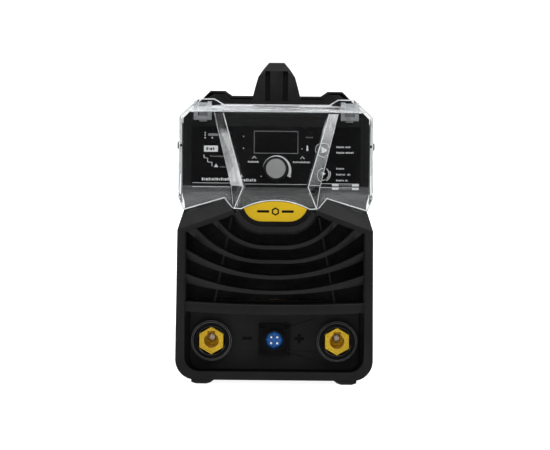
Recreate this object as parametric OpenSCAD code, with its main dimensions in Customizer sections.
// Portable inverter welding power source, millimetres.
// X to the right seen from the front, the front faces -Y, +Z up.
// The origin is on the ground under the middle of the machine.

/* [Body] */
// Overall depth from the front rim to the rear rim
body_depth = 450; // [440:1:460]
// Width across the front and rear bezels
bezel_w = 204; // [204:1:206]
// Width across the sheet-metal case
case_w = 194; // [190:1:194]
// Height of the flat middle of the case top
deck_z = 289; // [288:1:290]
// Height of the handle's top face
handle_z = 333; // [332:1:340]
// Thickness of the moulded bezel walls
wall = 3; // [2.5:0.5:3]
// Thickness of the sheet metal
sheet = 1.5; // [1:0.5:1.5]

/* [Control panel] */
// Backward lean of the control panel, degrees
panel_lean = 6; // [5:0.5:7]
// Height of the encoder knob's axis along the panel, from its lower edge
knob_v = 32; // [30:0.5:33]
// Diameter of the round push buttons
button_d = 13.4; // [12:0.2:13.6]
// Travel of the push buttons
button_travel = 1; // [0.5:0.1:1.2]
// Travel of the encoder push switch
knob_travel = 0.6; // [0.4:0.1:0.7]

/* [Clear cover] */
// Wall thickness of the clear cover
cover_wall = 2.4; // [2:0.1:2.6]
// Half width of the clear cover
cover_half = 101.3; // [101:0.1:101.5]

/* [Sockets] */
// Distance of each output socket from the middle
socket_x = 66; // [64:0.5:67]
// Height of the output sockets' axes
socket_z = 43; // [42:0.5:45]
// Bore of the output sockets
socket_bore = 15.5; // [15:0.1:15.6]
// Depth of the output sockets' bore
socket_depth = 24; // [22:1:25]

/* [Fan] */
// Height of the fan's axis
fan_z = 190; // [185:1:195]
// Diameter swept by the fan blades
fan_d = 108; // [100:1:110]
// Number of fan blades
fan_blades = 7; // [5:1:9]

/* [Hidden] */

$fn = 64;
eps = 0.01;
front_y = -body_depth / 2;
rear_y = body_depth / 2;
bezel_half = bezel_w / 2;
case_half = case_w / 2;

// depth layout of the front
rim_back_y = front_y + 6;
chin_y = front_y + 8.2;
chin_t = 3.4;
chin_half = 34;
case_front_y = -150;
case_rear_y = 183;
groove_y = -165;
groove_z = 281;
connector_y = -200;

// depth layout of the rear
rear_plate_y = 205;
rear_plate_t = 3;

// control panel plane: local X across, local Z up the panel, local -Y out of it
panel_z = 190;
panel_y = -170 - (groove_z - panel_z) * tan(panel_lean);
plate_half = 91;
plate_v = [15, 86];
overlay_half = 89;
overlay_v = [15.6, 77];
display_half = 23.4;
display_v = [48.6, 72.4];
board_y = 14;
button_x = 48.6;
button_v = [27, 53];

// cover hinge axis
hinge_y = -178;
hinge_z = 286;
hinge_x = 77.3;
hinge_pin_r = 1.5;

// scoop that holds the badge: centre of its lower corners and their radius
scoop_x = 14.4;
scoop_z = 189.3;
scoop_r = 30;

// lower edge of the clear cover: centre height and radius of the arc over the badge
cover_arc_z = 116;
cover_arc_r = 76.2;

// louvres: flat half width, top radius, top height, bottom radius, bottom height, half length
louvres = [
    [9.5, 60, 145.2, 70, 141, 67],
    [12, 90, 130, 112, 126.3, 92],
    [0, 172, 113.6, 212, 109.6, 98],
    [0, 255, 97.6, 396, 94.0, 98],
    [0, 1610, 83.2, 1610, 72.8, 98]
];

black = "#26262a";
dark = "#161618";
metal = "#b8babd";
brass = "#d8ac4c";
copper = "#c07848";

// ---- helpers ----

// a front-view outline carried along Y
module slab(points, y0, y1)
    translate([0, y1, 0]) rotate([90, 0, 0]) linear_extrude(y1 - y0) polygon(points);

// a side-view outline carried along X
module side_slab(points, x0, x1)
    translate([x0, 0, 0]) rotate([90, 0, 90]) linear_extrude(x1 - x0) polygon(points);

module block(x, y, z) translate([x[0], y[0], z[0]]) cube([x[1] - x[0], y[1] - y[0], z[1] - z[0]]);

// a cylinder along Y
module rod(x, z, r, y0, y1, fn = 64)
    translate([x, y1, z]) rotate([90, 0, 0]) cylinder(h = y1 - y0, r = r, $fn = fn);

// a cylinder along X
module cross_rod(y, z, r, x0, x1) translate([x0, y, z]) rotate([0, 90, 0]) cylinder(h = x1 - x0, r = r);

module both_sides() {
    children();
    mirror([1, 0, 0]) children();
}

module on_panel() translate([0, panel_y, panel_z]) rotate([-panel_lean, 0, 0]) children();

// a loft through rings with the same number of points
module loft(rings) {
    n = len(rings[0]);
    last = len(rings) - 1;
    polyhedron(
        points = [for (ring = rings) each ring],
        faces = concat(
            [[for (i = [0:n - 1]) i]],
            [[for (i = [n - 1:-1:0]) last * n + i]],
            [for (k = [0:last - 1], i = [0:n - 1]) [k * n + (i + 1) % n, k * n + i, (k + 1) * n + i]],
            [for (k = [0:last - 1], i = [0:n - 1])
                [k * n + (i + 1) % n, (k + 1) * n + i, (k + 1) * n + (i + 1) % n]]
        )
    );
}

function arc(cx, cz, r, a0, a1, n = 8) =
    [for (i = [0:n]) let (a = a0 + (a1 - a0) * i / n) [cx + r * cos(a), cz + r * sin(a)]];

// the right half of an outline, listed from the bottom up, completed by its mirror image
function mirrored(half) =
    concat(half, [for (i = [len(half) - 1:-1:0]) if (half[i][0] > eps) [-half[i][0], half[i][1]]]);

// top of the body, from a side corner to the flat middle, moved in by an amount
function top_profile(half, top, t) = [
    [half - t, top - 14 - 0.4 * t],
    [half - 20 - 0.4 * t, top + 6 - t],
    [64 + 0.4 * t, top + 6 - t],
    [55.5 + 0.4 * t, top - t]
];

function bezel_outline(t) = mirrored(concat(
    arc(bezel_half - 20, 25.4, 21 - t, -90, 0),
    [[bezel_half - 0.5 - t, 161 - 0.3 * t], [95 - t, 182 - 0.3 * t], [98.4 - t, 195]],
    top_profile(98.4, deck_z, t)
));

function rear_outline(t) = mirrored(concat(
    arc(bezel_half - 21, 25.4, 21 - t, -90, 0),
    top_profile(bezel_half, deck_z + 2, t)
));

function case_outline(t, bottom) = mirrored(concat(
    [[case_half - t, bottom]],
    top_profile(case_half, deck_z - 1, t)
));

// the air and connector opening of the front bezel, moved outwards by an amount
function opening_outline(g) = mirrored(concat(
    [[78 + eps, 13 - g]],
    arc(78, 28.5, 15.5 + g, -85, 0),
    [[93.5 + g, 158.5 + 0.6 * g], [45, 177 + g]],
    arc(scoop_x, scoop_z, scoop_r - g, -24, -90)
));

// the scoop that holds the badge, moved in by an amount
function scoop_outline(t, top) = mirrored(concat(
    arc(scoop_x, scoop_z, scoop_r - t, -90, 0),
    [[scoop_x + scoop_r - t, top]]
));

function smile(x, flat, r, z0) = z0 + r - sqrt(r * r - pow(max(abs(x) - flat, 0), 2));

function smile_points(flat, r, z0, half, n = 22) =
    [for (i = [-n:n]) let (x = half * sin(90 * i / n)) [x, smile(x, flat, r, z0)]];

// ---- case ----

module base_pan() color(black) difference() {
    union() {
        block([-95.4, 95.4], [case_front_y + 1, case_rear_y - 1], [7, 7 + sheet]);
        both_sides() block([95.4 - sheet, 95.4], [case_front_y + 1, case_rear_y - 1], [7, 26]);
    }
    for (i = [0:7], x = [-45, 0, 45])
        block([x - 15, x + 15], [-110 + i * 12, -106 + i * 12], [6, 10]);
}

module case_cover() color(black) difference() {
    slab(case_outline(0, 9), case_front_y, case_rear_y);
    slab(case_outline(sheet, 0), case_front_y - 1, case_rear_y + 1);
    // vent slots in both sides
    for (i = [0:5], row = [0, 1])
        block([-120, 120], [52 + row * 56, 100 + row * 56], [96 + i * 12, 100 + i * 12]);
    for (i = [0:4]) block([-120, 120], [-128, -84], [66 + i * 12, 70 + i * 12]);
    for (y = [-135, 170], z = [40, 225]) cross_rod(y, z, 2.2, -120, 120);
    for (x = [-14, 14], y = [-116, 116]) translate([x, y, deck_z - 6]) cylinder(h = 8, r = 2.6);
}

module case_screws() color(metal)
    both_sides() for (y = [-135, 170], z = [40, 225]) difference() {
        union() {
            cross_rod(y, z, 4.2, case_half, case_half + 2.2);
            cross_rod(y, z, 2, case_half - 8, case_half + 1);
        }
        translate([case_half + 0.8, y - 0.6, z - 2.8]) cube([3, 1.2, 5.6]);
        translate([case_half + 0.8, y - 2.8, z - 0.6]) cube([3, 5.6, 1.2]);
    }

module rubber_feet() color(dark)
    both_sides() for (end = [-1, 1])
        slab([[70, 0], [81, 0], [86, 1.6], [86.5, 4.4], [62, 4.4], [66, 1.4]],
            end < 0 ? front_y + 1.5 : rear_y - 38, end < 0 ? front_y + 38 : rear_y - 1.5);

// ---- front bezel and grille ----

// everything in front of the shoulders, the ledge and the control panel, moved in by an amount
module front_cut(t) {
    far = front_y - 20;
    tilt = 20;
    panel_at = function(z) panel_y + (z - panel_z) * tan(panel_lean) + t / cos(panel_lean);
    intersection() {
        union() {
            // low ledge on both sides of the chin, where the raised middle of the cover comes down
            both_sides() intersection() {
                side_slab([[far, 181.2 - t], [-212 + t, 181.2 - t], [-198 + t, 194 - t], [-140, 206 - t],
                    [-140, 340], [far, 340]], chin_half, 54 - t);
                slab([[chin_half - 1, 170], [41.5 - t, 178.9 - t], [54.1 - t, 193.2 - t], [54.1 - t, 340],
                    [chin_half - 1, 340]], far, -139);
            }
            side_slab([[far, 196 - t], [-210 + t, 196 - t], [-140, 207 - t], [-140, 340], [far, 340]],
                -110, 110);
            both_sides() rotate([0, tilt, 0]) side_slab([[far, 186 - t], [front_y + t, 186 - t],
                [-213.4 + t, 199 - t], [-150, 215.5 - t], [-140, 420], [far, 420]], -90, 140);
        }
        side_slab([[far, 120], [panel_at(120), 120], [panel_at(340), 340], [far, 340]], -110, 110);
    }
    block([-110, 110], [far, groove_y + t], [groove_z - t, 340]);
}

module front_bezel() color(black) {
    difference() {
        slab(bezel_outline(0), front_y, case_front_y);
        front_cut(0);
        difference() {
            slab(bezel_outline(wall), rim_back_y, case_front_y + 1);
            front_cut(wall);
            slab(scoop_outline(-2.5, 200), rim_back_y - 1, chin_y + chin_t);
        }
        slab(opening_outline(0), front_y - 1, rim_back_y + 1);
        slab(scoop_outline(0, 205), front_y - 1, chin_y);
        on_panel()
            block([-plate_half - 0.2, plate_half + 0.2], [-5, 9], [plate_v[0] - 0.2, plate_v[1] + 0.2]);
    }
    // flange behind the side walls of the clear cover
    both_sides() slab([[96.5, 198], [100, 198], [100, 268], [96.5, 272]], cover_skirt_y + 0.6, case_front_y);
}

function reversed(list) = [for (i = [len(list) - 1:-1:0]) list[i]];

module louvre_grille() color(black) {
    front = front_y + 3.2;
    back = rim_back_y + 13;
    // lip behind the rim
    difference() {
        slab(opening_outline(3), rim_back_y, rim_back_y + 4);
        slab(opening_outline(-1.2), rim_back_y - 1, rim_back_y + 5);
        slab(scoop_outline(-4.5, 210), rim_back_y - 1, rim_back_y + 5);
        block([-120, 120], [rim_back_y - 1, rim_back_y + 5], [0, 71]);
    }
    for (k = [0:len(louvres) - 1]) let (v = louvres[k], last = k == len(louvres) - 1) {
        outline = concat(
            smile_points(v[0], v[3], v[4], v[5]),
            reversed(smile_points(v[0], v[1], v[2], min(v[5], v[0] + v[1] - 0.6)))
        );
        intersection() {
            slab(outline, front, rim_back_y + 1);
            slab(opening_outline(-0.4), front - 1, rim_back_y + 2);
        }
        intersection() {
            slab(outline, rim_back_y, last ? connector_y - 0.2 : back);
            slab(opening_outline(3), rim_back_y - 1, connector_y);
        }
    }
    // slanting ties behind the louvres
    both_sides() slab([[44.6, 174], [46.8, 174], [64.2, 84], [62, 84]], back - 5, back - 0.5);
}

module dust_filter() color("#0c0c0d") intersection() {
    slab(opening_outline(3), connector_y + 6, connector_y + 12);
    block([-96, 96], [connector_y, connector_y + 20], [86, 175]);
}

module connector_panel() color(black) difference() {
    union() {
        slab(mirrored(concat(arc(77, 24, 12, -90, 0), [[89, 80], [0, 80]])), connector_y, connector_y + 4);
        slab(mirrored(concat(arc(79, 28.6, 19.4, -90, 0), [[98.4, 85.5], [0, 85.5]])),
            connector_y + 4, connector_y + 7);
    }
    both_sides() rod(socket_x, socket_z, 15.2, connector_y - 1, connector_y + 8);
    rod(0, remote_z, 10.2, connector_y - 1, connector_y + 8);
    mark_shapes(connector_y - 1, connector_y + 0.8, 0.1);
}

// minus and plus signs between the sockets
module mark_shapes(y0, y1, grow) {
    long = 5 + grow;
    thick = 1.6 + grow;
    z = socket_z + 2;
    block([-28.5 - long, -28.5 + long], [y0, y1], [z - thick, z + thick]);
    block([26.5 - long, 26.5 + long], [y0, y1], [z - thick, z + thick]);
    block([26.5 - thick, 26.5 + thick], [y0, y1], [z - long, z + long]);
}

module polarity_marks() color(dark) mark_shapes(connector_y + 0.3, connector_y + 0.8, 0);

// the room under the clear cover's lower edge
module under_cover() rod(0, cover_arc_z, cover_arc_r - 1.2, front_y - 1, chin_y + 1, fn = 128);

module badge_trim() color(black) intersection() {
    difference() {
        slab(scoop_outline(0.2, 196), front_y + 0.2, chin_y);
        slab(scoop_outline(5.4, 199), front_y - 1, chin_y + 1);
    }
    under_cover();
}

module badge_plate() color("#d9b81e") intersection() {
    slab(scoop_outline(10.6, 195), chin_y - 1.6, chin_y);
    under_cover();
}

// ---- control panel ----

module panel_hole(x, v, r, y0, y1) translate([x, y1, v]) rotate([90, 0, 0]) cylinder(h = y1 - y0, r = r);

module panel_openings(y0, y1, grow) {
    block([-display_half + 1.6, display_half - 1.6], [y0, y1], [display_v[0] + 1.6, display_v[1] - 1.6]);
    panel_hole(0, knob_v, 4.6 + grow, y0, y1);
    for (v = button_v) panel_hole(button_x, v, button_d / 2 + 0.3, y0, y1);
}

module control_fascia() color(black) on_panel() difference() {
    union() {
        block([-plate_half, plate_half], [0, 3], plate_v);
        block([-plate_half - 2.4, plate_half + 2.4], [3, 5], [plate_v[0] - 0.8, plate_v[1] - 2.5]);
        block([-plate_half + 1, plate_half - 1], [3, 5], [plate_v[0] - 0.8, plate_v[1] + 2.4]);
    }
    panel_openings(-1, 6, 0);
}

module fascia_overlay() color(dark) on_panel() difference() {
    block([-overlay_half, overlay_half], [-0.5, 0], overlay_v);
    panel_openings(-1, 1, 1);
}

module display_window() color("#303336") on_panel()
    block([-display_half + 1.7, display_half - 1.7], [0, 2], [display_v[0] + 1.7, display_v[1] - 1.7]);

module display_module() color("#3a3d40") on_panel()
    block([-display_half - 1, display_half + 1], [5.2, board_y], [display_v[0] - 2, display_v[1] + 2]);

module control_board() color("#1f5b34") on_panel() difference() {
    block([-82, 82], [board_y, board_y + 1.6], [plate_v[0] + 2, plate_v[1] - 2]);
    for (x = [-77, 77], v = [22, 80]) panel_hole(x, v, 1.7, board_y - 1, board_y + 3);
}

module encoder_body() color(metal) on_panel() difference() {
    union() {
        block([-6.5, 6.5], [5.4, board_y], [knob_v - 6.5, knob_v + 6.5]);
        panel_hole(0, knob_v, 4.3, -3, 6);
    }
    panel_hole(0, knob_v, 3.05, -4, 8);
    panel_hole(0, knob_v, 5.2, 7.4, 12.5);
}

module encoder_collar() color("#d8d8d0") on_panel() difference() {
    panel_hole(0, knob_v, 5.1, 9.8 - knob_travel, 12 - knob_travel);
    panel_hole(0, knob_v, 2.05, 8, 11 - knob_travel);
}

module encoder_shaft() color(metal) on_panel() {
    panel_hole(0, knob_v, 3, -15, 9.5 - knob_travel);
    panel_hole(0, knob_v, 2, 8, 10.9 - knob_travel);
}

module knob_body() color(dark) on_panel() difference() {
    union() {
        panel_hole(0, knob_v, 13, -4.6, -1 - knob_travel);
        panel_hole(0, knob_v, 11.4, -17, -4);
        for (i = [0:23]) rotate_about_knob(i * 15) panel_hole(11.2, knob_v, 0.5, -16.5, -4);
    }
    panel_hole(0, knob_v, 3.02, -15, 0);
    panel_hole(0, knob_v, 4.6, -3.8, 0);
    panel_hole(0, knob_v, 10.3, -18, -16);
}

module rotate_about_knob(a) translate([0, 0, knob_v]) rotate([0, a, 0]) translate([0, 0, -knob_v]) children();

module knob_cap() color("#b4b4b4") on_panel() panel_hole(0, knob_v, 10.2, -17.8, -16);

module push_button(v) on_panel() {
    panel_hole(button_x, v, button_d / 2, -2.4, 3.6);
    panel_hole(button_x, v, 8.4, 5.1, 6.3);
    panel_hole(button_x, v, 2, 3, board_y - 0.4 - button_travel);
}

module button_upper() color(dark) push_button(button_v[1]);

module button_lower() color(dark) push_button(button_v[0]);

// ---- clear cover ----

cover_crease_z = 206;
cover_bevel_z = 283;
cover_back_y = -176;
cover_skirt_y = -168;

function cover_outline(t, drop) = mirrored(concat(
    arc(0, cover_arc_z - drop, cover_arc_r, 90, 56.8, 6),
    [[53.4, 193.7 - drop], [95.2 - t, 181.7 - drop], [cover_half - t, 193.7],
    [cover_half - t, 277.4 - 0.4 * t], [82 - 0.4 * t, 295.8 - t], [65 + 0.4 * t, 295.8 - t], [55.5 + 0.4 * t, 290 - t], [0, 290 - t]]
));

// side view of the main shell, moved in by an amount
function cover_side(t) = [
    [-223 + t, 176], [-217.5 + t, 186], [-200.8 + t, cover_crease_z - 0.3 * t],
    [-190 + t, cover_bevel_z - 0.4 * t], [-183 + t, 290 - 0.4 * t], [-183 + t, 300],
    [cover_back_y + (t > 0 ? 1 : 0), 300], [cover_back_y + (t > 0 ? 1 : 0), 274],
    [cover_skirt_y + (t > 0 ? 1 : 0), 266], [cover_skirt_y + (t > 0 ? 1 : 0), 214], [-190, 176]
];

// the raised middle of the cover: base half width, front half width, front face, base, height
function cover_blister(t) = [
    for (s = [[42.5, 42.5, front_y, -190, 184], [53.9, 33.7, -219.5, -190, cover_crease_z],
        [69.9, 55.3, -198, -186, 281.5 - t]])
        [[-s[0] + t, s[3], s[4]], [-s[1] + t, s[2] + t, s[4]],
            [s[1] - t, s[2] + t, s[4]], [s[0] - t, s[3], s[4]]]
];

module cover_fork() for (x = [[-9.3, -4.8], [4.7, 9.2]]) difference() {
    side_slab([[hinge_y - 4, hinge_z - 12], [hinge_y + 3, hinge_z - 12], [hinge_y + 4, hinge_z],
        [hinge_y + 2, hinge_z + 6.5], [hinge_y - 4, hinge_z + 6.5]], hinge_x + x[0], hinge_x + x[1]);
    cross_rod(hinge_y, hinge_z, hinge_pin_r + 0.05, hinge_x - 20, hinge_x + 20);
}

module clear_cover() color("#d7e4e8", 0.35) {
    difference() {
        intersection() {
            slab(cover_outline(0, 0), -230, -170);
            union() {
                side_slab(cover_side(0), -105, 105);
                loft(cover_blister(0));
            }
        }
        intersection() {
            slab(cover_outline(cover_wall, 30), -230, -160);
            union() {
                side_slab(cover_side(cover_wall), -105, 105);
                loft(cover_blister(cover_wall));
            }
        }
        cross_rod(-189, 247, 1.6, -110, 110);
    }
    both_sides() {
        cover_fork();
        block([hinge_x - 5, hinge_x + 5], [hinge_y - 5, hinge_y - 3], [hinge_z - 11.5, hinge_z - 7.5]);
    }
}

module cover_side_studs() color(dark) both_sides() {
    cross_rod(-189, 247, 3.8, cover_half, cover_half + 2);
    cross_rod(-189, 247, 1.5, cover_half - cover_wall - 0.6, cover_half + 1);
}

module hinge_brackets() color(black) both_sides() difference() {
    union() {
        cross_rod(hinge_y, hinge_z, 3.7, hinge_x - 4.2, hinge_x + 4.1);
        side_slab([[hinge_y - 3.6, hinge_z - 2], [hinge_y + 3.2, hinge_z - 2.5], [-170.2, 280],
            [-171.1, 271.5], [hinge_y + 4.2, 271.5]], hinge_x - 4.2, hinge_x + 4.1);
    }
    cross_rod(hinge_y, hinge_z, hinge_pin_r + 0.01, hinge_x - 20, hinge_x + 20);
    on_panel() block([-90, 90], [0, 10], [70, 100]);
}

module hinge_pins() color(metal) both_sides()
    cross_rod(hinge_y, hinge_z, hinge_pin_r, hinge_x - 10, hinge_x + 10);

// ---- output sockets and control connector ----

module socket_collar(side) {
    at = side * socket_x;
    difference() {
        union() {
            rod(at, socket_z, 21.3, connector_y - 6, connector_y);
            rod(at, socket_z, 19.8, connector_y - 8, connector_y - 5);
            rod(at, socket_z, 15, connector_y - 1, connector_y + 10);
        }
        rod(at, socket_z, 14.6, connector_y - 9, connector_y - 1);
        rod(at, socket_z, 11.1, connector_y - 2, connector_y + 11);
    }
}

module socket_body(side) {
    at = side * socket_x;
    mouth = connector_y - 6.5;
    difference() {
        union() {
            rotate_hex(at) rod(0, 0, 14.5, mouth, connector_y - 1, fn = 6);
            rod(at, socket_z, 11, connector_y - 2, connector_y + 32);
        }
        rod(at, socket_z, socket_bore / 2, mouth - 1, mouth + socket_depth);
        rod(at, socket_z, 5, mouth + socket_depth - 1, connector_y + 24);
        rod(at, socket_z, 4.05, connector_y + 20, connector_y + 33);
        block([at - 4, at + 4], [mouth - 1, mouth + socket_depth - 2], [socket_z, socket_z + 10.2]);
    }
}

// puts two corners of a hexagon above and below the axis
module rotate_hex(at) translate([at, 0, socket_z]) rotate([0, 30, 0]) children();

module socket_bolt(side) {
    at = side * socket_x;
    tip = connector_y - 6.5 + socket_depth + 1;
    rod(at, socket_z, 4, tip + 6, connector_y + 60);
    rod(at, socket_z, 3.5, tip + 3.2, tip + 7);
    translate([at, tip + 3.5, socket_z]) sphere(r = 3.5, $fn = 32);
    translate([at, 0, socket_z]) rod(0, 0, 7.5, connector_y + 32, connector_y + 38, fn = 6);
}

module socket_collar_minus() color(dark) socket_collar(-1);
module socket_collar_plus() color(dark) socket_collar(1);
module socket_body_minus() color(brass) socket_body(-1);
module socket_body_plus() color(brass) socket_body(1);
module socket_bolt_minus() color(metal) socket_bolt(-1);
module socket_bolt_plus() color(metal) socket_bolt(1);

remote_z = socket_z + 1;

module remote_flange() color("#3c3c40") difference() {
    union() {
        block([-16.5, 16.5], [connector_y - 2.5, connector_y], [remote_z - 16.5, remote_z + 16.5]);
        rod(0, remote_z, 11.4, connector_y - 9, connector_y - 2);
        rod(0, remote_z, 10.1, connector_y - 1, connector_y + 12);
    }
    rod(0, remote_z, 9.2, connector_y - 10, connector_y + 2);
    for (x = [-13, 13], z = [-13, 13]) rod(x, remote_z + z, 1.6, connector_y - 4, connector_y + 1);
}

module remote_insert() color("#2a4fa8") difference() {
    rod(0, remote_z, 9.1, connector_y - 5, connector_y + 2);
    for (x = [-3.2, 3.2], z = [-3.2, 3.2]) rod(x, remote_z + z, 1.3, connector_y - 6, connector_y + 3);
}

module remote_pins() color(metal) for (x = [-3.2, 3.2], z = [-3.2, 3.2]) {
    rod(x, remote_z + z, 1.2, connector_y - 6.6, connector_y + 2);
    translate([x, connector_y - 6.6, remote_z + z]) sphere(r = 1.2, $fn = 24);
}

module remote_screws() color(metal) for (x = [-13, 13], z = [-13, 13]) difference() {
    union() {
        rod(x, remote_z + z, 2.6, connector_y - 4, connector_y - 2.5);
        rod(x, remote_z + z, 1.5, connector_y - 3, connector_y);
    }
    block([x - 0.3, x + 0.3], [connector_y - 5, connector_y - 3.4], [remote_z + z - 1.8, remote_z + z + 1.8]);
    block([x - 1.8, x + 1.8], [connector_y - 5, connector_y - 3.4], [remote_z + z - 0.3, remote_z + z + 0.3]);
}

// ---- handle ----

function handle_section(t) = mirrored([
    [27.8 - t, deck_z - 1], [22.9 - t, deck_z + 19], [19.9 - t, handle_z - 14.5],
    [15.3 - t, handle_z - 7.5], [9 - t / 2, handle_z - t]
]);

handle_arch = [
    [-137, deck_z - 1], [-129, 322], [-119, handle_z], [119, handle_z], [129, 322], [137, deck_z - 1],
    [100, deck_z - 1], [94, 311], [84, 319.5], [-84, 319.5], [-94, 311], [-100, deck_z - 1]
];
grip_half = 76;

module handle_frame() color(black) difference() {
    intersection() {
        slab(handle_section(0), -140, 140);
        side_slab(handle_arch, -30, 30);
    }
    // recess in the front and rear faces of the legs
    for (end = [-1, 1]) difference() {
        side_slab([[end * 142, 293], [end * 128, 293], [end * 121, 325], [end * 142, 325]], -12.3, 12.3);
        side_slab([[end * 133, 292], [end * 120, 292], [end * 113, 326], [end * 126, 326]], -6.9, 6.9);
    }
    // seat of the grip
    difference() {
        block([-30, 30], [-grip_half, grip_half], [318, handle_z + 1]);
        slab(handle_section(2.2), -grip_half - 1, grip_half + 1);
    }
    for (x = [-14, 14], y = [-116, 116]) translate([x, y, deck_z - 2]) cylinder(h = 16, r = 2.4);
}

module handle_grip() color("#1b1b1d") difference() {
    intersection() {
        slab(handle_section(0), -grip_half, grip_half);
        block([-30, 30], [-grip_half, grip_half], [319.5, handle_z + 1]);
    }
    slab(handle_section(2.2), -grip_half - 1, grip_half + 1);
    for (i = [-6:6]) block([-30, 30], [i * 11 - 1, i * 11 + 1], [handle_z - 0.8, handle_z + 1]);
}

module handle_screws() color(metal) for (x = [-14, 14], y = [-116, 116]) {
    translate([x, y, deck_z - sheet - 5]) cylinder(h = 2.4, r = 4.4);
    translate([x, y, deck_z - sheet - 3]) cylinder(h = 15, r = 2.3);
}

// ---- rear bezel, fan and mains fittings ----

switch_x = -55;
switch_z = 58;
gland_x = 55;
gland_z = 52;
earth_z = 46;
rocker_tilt = 10;

module rear_bezel() color(black) difference() {
    slab(rear_outline(0), case_rear_y, rear_y);
    slab(rear_outline(wall), case_rear_y - 1, rear_plate_y);
    slab(rear_outline(wall + 1.5), rear_plate_y + rear_plate_t, rear_y + 1);
    rod(0, fan_z, fan_d / 2 + 3, rear_plate_y - 1, rear_plate_y + 5);
    for (x = [-52.5, 52.5], z = [-52.5, 52.5])
        rod(x, fan_z + z, 2.2, rear_plate_y - 1, rear_plate_y + 5);
    block([switch_x - 14, switch_x + 14], [rear_plate_y - 1, rear_plate_y + 5],
        [switch_z - 11, switch_z + 11]);
    rod(gland_x, gland_z, 10.2, rear_plate_y - 1, rear_plate_y + 5);
    rod(0, earth_z, 2.6, rear_plate_y - 1, rear_plate_y + 5);
    for (i = [0:3], x = [-70, 70]) block([x - 13, x + 13],
        [rear_plate_y - 1, rear_plate_y + 5], [100 + i * 9, 104 + i * 9]);
}

module fan_guard() color(dark) {
    y0 = rear_plate_y + rear_plate_t;
    for (r = [14, 25, 36, 47, 58]) difference() {
        rod(0, fan_z, r + 1.1, y0 + 0.6, y0 + 2.8);
        rod(0, fan_z, r - 1.1, y0, y0 + 3);
    }
    rod(0, fan_z, 5, y0 + 0.6, y0 + 2.8);
    for (a = [45, 135]) translate([0, 0, fan_z]) rotate([0, a, 0])
        block([-70, 70], [y0 + 0.6, y0 + 2.8], [-1.3, 1.3]);
    for (x = [-52.5, 52.5], z = [-52.5, 52.5]) {
        rod(x, fan_z + z, 5, y0, y0 + 2.8);
        rod(x, fan_z + z, 4, y0 + 2, y0 + 5);
        rod(x, fan_z + z, 2, rear_plate_y - 10, y0 + 1);
    }
}

module fan_frame() color(dark) difference() {
    union() {
        difference() {
            block([-60, 60], [rear_plate_y - 25, rear_plate_y], [fan_z - 60, fan_z + 60]);
            rod(0, fan_z, fan_d / 2 + 3, rear_plate_y - 26, rear_plate_y + 1);
        }
        rod(0, fan_z, 20, rear_plate_y - 25, rear_plate_y - 22);
        for (a = [0, 90]) translate([0, 0, fan_z]) rotate([0, a, 0])
            block([-59, 59], [rear_plate_y - 25, rear_plate_y - 22], [-2.5, 2.5]);
        rod(0, fan_z, 2, rear_plate_y - 24, rear_plate_y - 4);
    }
    for (x = [-52.5, 52.5], z = [-52.5, 52.5])
        rod(x, fan_z + z, 2.1, rear_plate_y - 26, rear_plate_y + 1);
}

module fan_rotor() color("#222226") difference() {
    union() {
        rod(0, fan_z, 19, rear_plate_y - 20, rear_plate_y - 2);
        for (i = [0:fan_blades - 1])
            translate([0, rear_plate_y - 11, fan_z]) rotate([0, i * 360 / fan_blades, 0])
            translate([17, 0, 0]) rotate([32, 0, 0]) translate([0, -1, -13]) cube([fan_d / 2 - 18, 2, 26]);
    }
    rod(0, fan_z, 2.05, rear_plate_y - 21, rear_plate_y - 3.5);
    rod(0, fan_z, fan_d, rear_plate_y - 30, rear_plate_y - 20);
    rod(0, fan_z, fan_d, rear_plate_y - 2, rear_plate_y + 10);
}

module switch_housing() color(dark) difference() {
    y0 = rear_plate_y + rear_plate_t;
    union() {
        block([switch_x - 16.5, switch_x + 16.5], [y0, y0 + 2], [switch_z - 13, switch_z + 13]);
        block([switch_x - 13.8, switch_x + 13.8], [y0 - 26, y0 + 1], [switch_z - 10.8, switch_z + 10.8]);
    }
    block([switch_x - 12, switch_x + 12], [y0 - 14, y0 + 3], [switch_z - 9.6, switch_z + 9.6]);
    cross_rod(y0 - 3, switch_z, 1.55, switch_x - 15, switch_x + 15);
}

// rocker seen from the side, tipped about its pivot
module switch_rocker() color("#a81f1c")
    translate([switch_x, rear_plate_y + rear_plate_t - 3, switch_z]) rotate([-rocker_tilt, 0, 0]) {
        side_slab([[-8, -4.6], [-8, 4.6], [2.2, 8.9], [4.7, 8.14], [3.6, 0], [4.7, -8.14], [2.2, -8.9]],
            -11.6, 11.6);
        cross_rod(0, 0, 1.5, -13.5, 13.5);
    }

module gland_body() color(dark) {
    y0 = rear_plate_y + rear_plate_t;
    difference() {
        union() {
            rod(gland_x, gland_z, 13, y0, y0 + 5, fn = 6);
            rod(gland_x, gland_z, 10, y0 - 14, y0 + 9);
        }
        rod(gland_x, gland_z, 6.2, y0 - 15, y0 + 10);
    }
    difference() {
        rod(gland_x, gland_z, 12.5, y0 - 8, y0 - 3, fn = 6);
        rod(gland_x, gland_z, 9, y0 - 9, y0);
    }
}

module gland_nut() color(dark) {
    y0 = rear_plate_y + rear_plate_t;
    difference() {
        union() {
            rod(gland_x, gland_z, 12.2, y0 + 5.2, y0 + 11, fn = 6);
            rod(gland_x, gland_z, 10.4, y0 + 10, y0 + 15);
        }
        rod(gland_x, gland_z, 10.05, y0 + 4, y0 + 10);
        rod(gland_x, gland_z, 6.5, y0 + 9, y0 + 16);
    }
}

module earth_stud() color(metal) {
    rod(0, earth_z, 2.5, rear_plate_y - 6, rear_plate_y + 10);
    rod(0, earth_z, 3, rear_plate_y + 9.2, rear_plate_y + 19);
    rod(0, earth_z, 5.8, rear_plate_y - 5, rear_plate_y, fn = 6);
}

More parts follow.
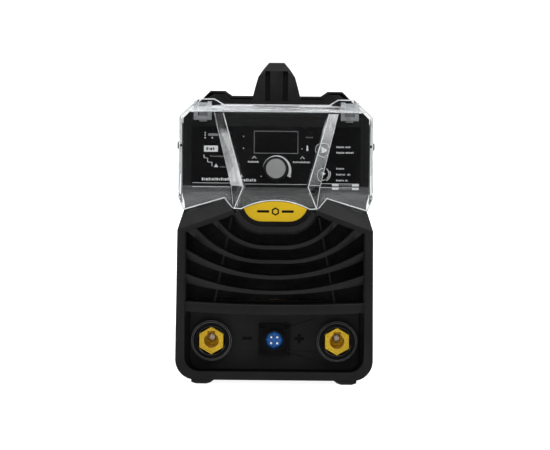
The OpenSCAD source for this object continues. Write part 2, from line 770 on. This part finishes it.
module earth_nuts() color(brass) difference() {
    y0 = rear_plate_y + rear_plate_t;
    union() {
        rod(0, earth_z, 6.5, y0, y0 + 1.4);
        rod(0, earth_z, 5.8, y0 + 1.4, y0 + 6, fn = 6);
    }
    rod(0, earth_z, 2.55, y0 - 1, y0 + 7);
}

module rating_plate() color("#9fa2a6")
    block([-38, 38], [rear_plate_y + rear_plate_t, rear_plate_y + rear_plate_t + 0.6], [84, 122]);

// ---- inside ----

board_z = 122;

module power_board() color("#1f5b34") {
    block([-88, 88], [-112, 150], [board_z, board_z + 2]);
    for (x = [-82, 82], y = [-104, 142])
        translate([x, y, 7 + sheet]) cylinder(h = board_z - 7 - sheet, r = 4);
}

module heatsinks() color(metal) both_sides() {
    block([8, 14], [-50, 140], [board_z + 2, board_z + 74]);
    for (i = [0:9]) block([13, 84], [-50, 140], [board_z + 5 + i * 7.3, board_z + 7.2 + i * 7.3]);
}

module power_modules() color(dark) both_sides() for (y = [-40, 10, 60, 110])
    block([3.5, 8], [y, y + 24], [board_z + 8, board_z + 40]);

module filter_capacitors() color("#1d2b4a") for (x = [-56, 0, 56])
    translate([x, -84, board_z + 2]) difference() {
        cylinder(h = 52, r = 17.5);
        translate([0, 0, 51]) cylinder(h = 2, r = 14);
    }

core_y = [45, 115];
core_z = [7 + sheet, 78];

module transformer_core() color("#4a4a4c") difference() {
    block([-45, 45], core_y, core_z);
    both_sides() block([14, 33], [core_y[0] - 1, core_y[1] + 1], [core_z[0] + 12, core_z[1] - 12]);
}

module transformer_winding() color(copper) difference() {
    block([-31, 31], [core_y[0] - 12, core_y[1] + 12], [core_z[0] + 13, core_z[1] - 13]);
    block([-14.2, 14.2], [core_y[0] - 0.2, core_y[1] + 0.2], [0, 90]);
}

choke_y = -30;
choke_z = 46.5;

module choke_core() color("#5b4a2a") translate([0, choke_y, choke_z]) rotate([90, 0, 0])
    rotate_extrude() translate([20, -11]) square([13, 22]);

module choke_winding() color(copper) translate([0, choke_y, choke_z]) rotate([90, 0, 0])
    for (part = [0, 1]) rotate([0, 0, part * 180 + 12]) rotate_extrude(angle = 156) difference() {
        translate([15.5, -15.5]) square([22, 31]);
        translate([19.8, -11.2]) square([13.4, 22.4]);
    }

module busbars() color(copper) {
    for (side = [-1, 1]) difference() {
        union() {
            block([side * socket_x - 8, side * socket_x + 8], [connector_y + 38, connector_y + 41],
                [socket_z - 9, socket_z + 30]);
            block([side * socket_x - 8, side * socket_x + 8], [connector_y + 38, side < 0 ? -60 : 20],
                [socket_z + 27, socket_z + 30]);
        }
        rod(side * socket_x, socket_z, 4.1, connector_y + 30, connector_y + 50);
    }
}

base_pan();
case_cover();
case_screws();
rubber_feet();
front_bezel();
louvre_grille();
dust_filter();
connector_panel();
badge_trim();
badge_plate();
control_fascia();
fascia_overlay();
display_window();
display_module();
control_board();
encoder_body();
encoder_collar();
encoder_shaft();
knob_body();
knob_cap();
button_upper();
button_lower();
clear_cover();
cover_side_studs();
hinge_brackets();
hinge_pins();
socket_collar_minus();
socket_collar_plus();
socket_body_minus();
socket_body_plus();
socket_bolt_minus();
socket_bolt_plus();
polarity_marks();
remote_flange();
remote_insert();
remote_pins();
remote_screws();
handle_frame();
handle_grip();
handle_screws();
rear_bezel();
fan_guard();
fan_frame();
fan_rotor();
switch_housing();
switch_rocker();
gland_body();
gland_nut();
earth_stud();
earth_nuts();
rating_plate();
power_board();
heatsinks();
power_modules();
filter_capacitors();
transformer_core();
transformer_winding();
choke_core();
choke_winding();
busbars();
